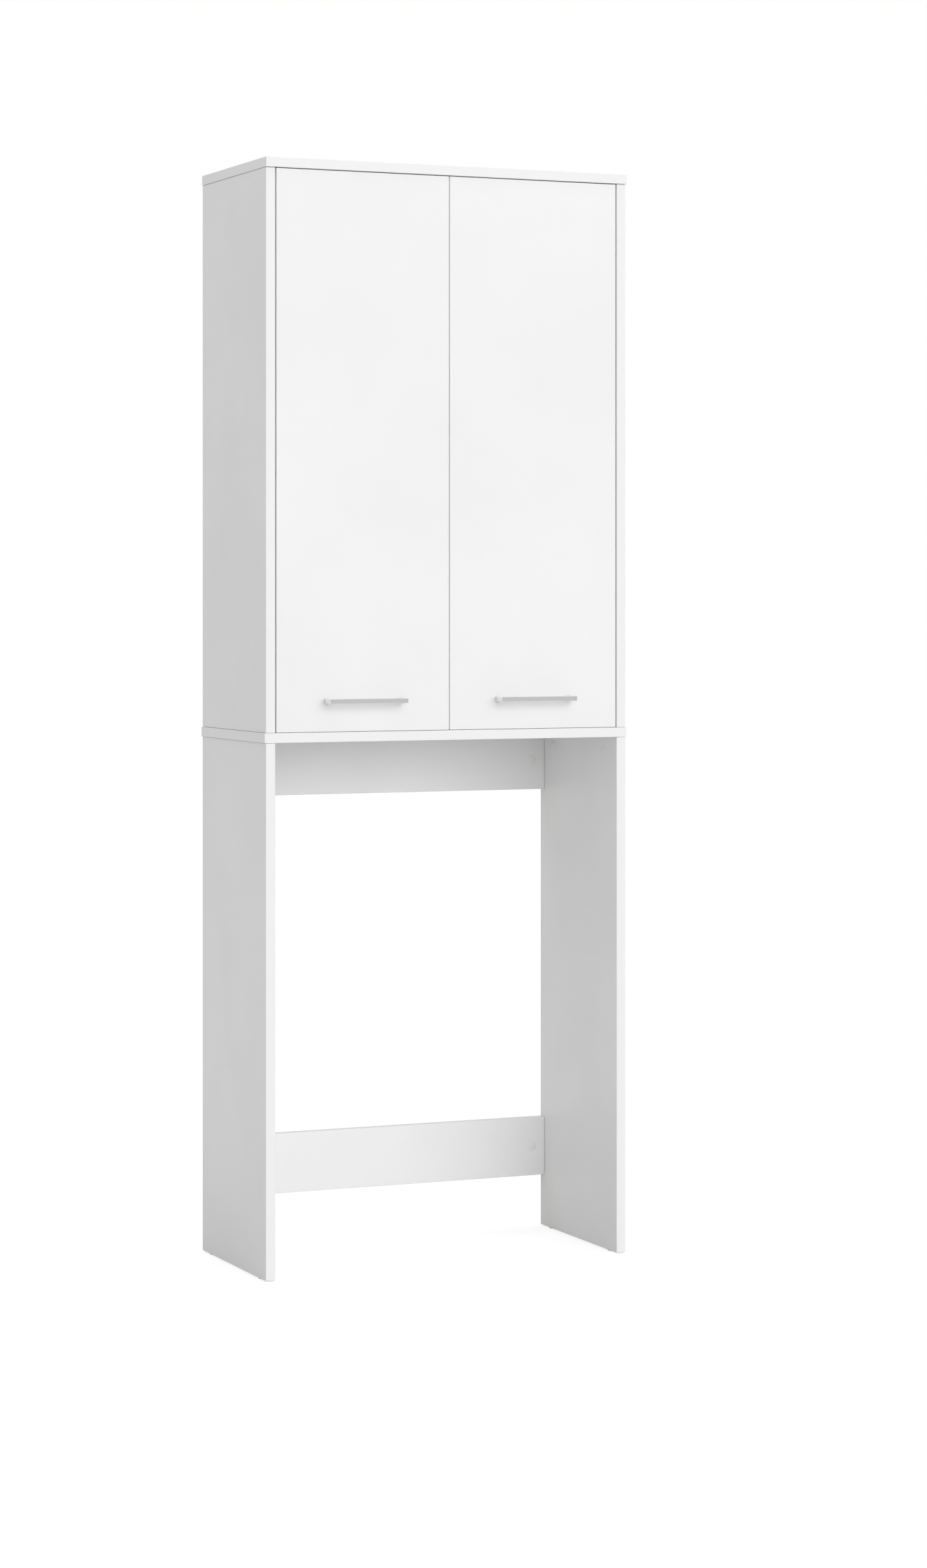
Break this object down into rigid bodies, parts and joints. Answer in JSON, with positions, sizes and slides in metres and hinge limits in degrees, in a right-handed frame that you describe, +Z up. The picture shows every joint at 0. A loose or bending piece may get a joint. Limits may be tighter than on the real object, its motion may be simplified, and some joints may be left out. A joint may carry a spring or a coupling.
{
  "type": "washing machine cabinet",
  "caption": "Tall white cabinet that stands over a washing machine: an open floor bay under a closed cupboard with inset doors, bow handles, cup hinges and loose shelves.",
  "frame": {"origin": "on the floor, under the middle of the whole cabinet's box, handles included", "axes": "+Z up, -Y towards the front with the doors, +X to the right as seen from the front"},
  "size_m": [0.64, 0.326, 1.79],
  "materials": {
    "white_melamine_board": "smooth satin white melamine on chipboard",
    "hardboard": "thin hardboard with a white painted face",
    "beech": "raw beech",
    "nylon": "white nylon",
    "zinc_plated_steel": "bright zinc plating on steel",
    "satin_aluminium": "brushed and anodised satin aluminium"
  },
  "bodies": {
    "carcass": {"back_panel": "hardboard", "deck_panel": "white_melamine_board", "dowel_deck_left_back": "beech", "dowel_deck_left_front": "beech", "dowel_deck_right_back": "beech", "dowel_deck_right_front": "beech", "dowel_top_left_back": "beech", "dowel_top_left_front": "beech", "dowel_top_right_back": "beech", "dowel_top_right_front": "beech", "floor_glide_left_back": "nylon", "floor_glide_left_front": "nylon", "floor_glide_right_back": "nylon", "floor_glide_right_front": "nylon", "hinge_arm_left_lower": "zinc_plated_steel", "hinge_arm_left_upper": "zinc_plated_steel", "hinge_arm_right_lower": "zinc_plated_steel", "hinge_arm_right_upper": "zinc_plated_steel", "hinge_plate_left_lower": "zinc_plated_steel", "hinge_plate_left_upper": "zinc_plated_steel", "hinge_plate_right_lower": "zinc_plated_steel", "hinge_plate_right_upper": "zinc_plated_steel", "lower_side_left": "white_melamine_board", "lower_side_right": "white_melamine_board", "rear_rail_lower": "white_melamine_board", "rear_rail_upper": "white_melamine_board", "shelf_lower": "white_melamine_board", "shelf_pin_lower_left_back": "zinc_plated_steel", "shelf_pin_lower_left_front": "zinc_plated_steel", "shelf_pin_lower_right_back": "zinc_plated_steel", "shelf_pin_lower_right_front": "zinc_plated_steel", "shelf_pin_upper_left_back": "zinc_plated_steel", "shelf_pin_upper_left_front": "zinc_plated_steel", "shelf_pin_upper_right_back": "zinc_plated_steel", "shelf_pin_upper_right_front": "zinc_plated_steel", "shelf_upper": "white_melamine_board", "top_panel": "white_melamine_board", "upper_side_left": "white_melamine_board", "upper_side_right": "white_melamine_board", "wall_bracket": "zinc_plated_steel"},
    "left_outer_links": {"hinge_outer_link_left_lower": "zinc_plated_steel", "hinge_outer_link_left_upper": "zinc_plated_steel"},
    "left_door": {"door_left": "white_melamine_board", "handle_left": "satin_aluminium", "handle_screw_left_inner": "zinc_plated_steel", "handle_screw_left_outer": "zinc_plated_steel", "hinge_cup_left_lower": "zinc_plated_steel", "hinge_cup_left_upper": "zinc_plated_steel"},
    "left_inner_links": {"hinge_inner_link_left_lower": "zinc_plated_steel", "hinge_inner_link_left_upper": "zinc_plated_steel"},
    "right_outer_links": {"hinge_outer_link_right_lower": "zinc_plated_steel", "hinge_outer_link_right_upper": "zinc_plated_steel"},
    "right_door": {"door_right": "white_melamine_board", "handle_right": "satin_aluminium", "handle_screw_right_inner": "zinc_plated_steel", "handle_screw_right_outer": "zinc_plated_steel", "hinge_cup_right_lower": "zinc_plated_steel", "hinge_cup_right_upper": "zinc_plated_steel"},
    "right_inner_links": {"hinge_inner_link_right_lower": "zinc_plated_steel", "hinge_inner_link_right_upper": "zinc_plated_steel"}
  },
  "joints": [
    {"name": "left_outer_link_pivot", "type": "hinge", "parent": "carcass", "child": "left_outer_links", "pos_m": [-0.26445, -0.11083, 0.8736], "axis": [0, 0, 1], "range_deg": [0, 31.2]},
    {"name": "left_door_hinge", "type": "hinge", "parent": "left_outer_links", "child": "left_door", "pos_m": [-0.29083, -0.12474, 0.8736], "axis": [0, 0, -1], "range_deg": [0, 121.1]},
    {"name": "left_inner_link_pivot", "type": "hinge", "parent": "left_door", "child": "left_inner_links", "pos_m": [-0.28685, -0.12837, 0.8736], "axis": [0, 0, 1], "range_deg": [0, 122.2]},
    {"name": "right_outer_link_pivot", "type": "hinge", "parent": "carcass", "child": "right_outer_links", "pos_m": [0.26445, -0.11083, 0.8736], "axis": [0, 0, -1], "range_deg": [0, 31.2]},
    {"name": "right_door_hinge", "type": "hinge", "parent": "right_outer_links", "child": "right_door", "pos_m": [0.29083, -0.12474, 0.8736], "axis": [0, 0, 1], "range_deg": [0, 121.1]},
    {"name": "right_inner_link_pivot", "type": "hinge", "parent": "right_door", "child": "right_inner_links", "pos_m": [0.28685, -0.12837, 0.8736], "axis": [0, 0, -1], "range_deg": [0, 122.2]}
  ],
  "couplings": [
    {"joint": "left_outer_link_pivot", "follows": "left_door_hinge", "ratio": 0.25705},
    {"joint": "left_inner_link_pivot", "follows": "left_door_hinge", "ratio": 1.0085},
    {"joint": "right_outer_link_pivot", "follows": "right_door_hinge", "ratio": 0.25705},
    {"joint": "right_inner_link_pivot", "follows": "right_door_hinge", "ratio": 1.0085}
  ]
}
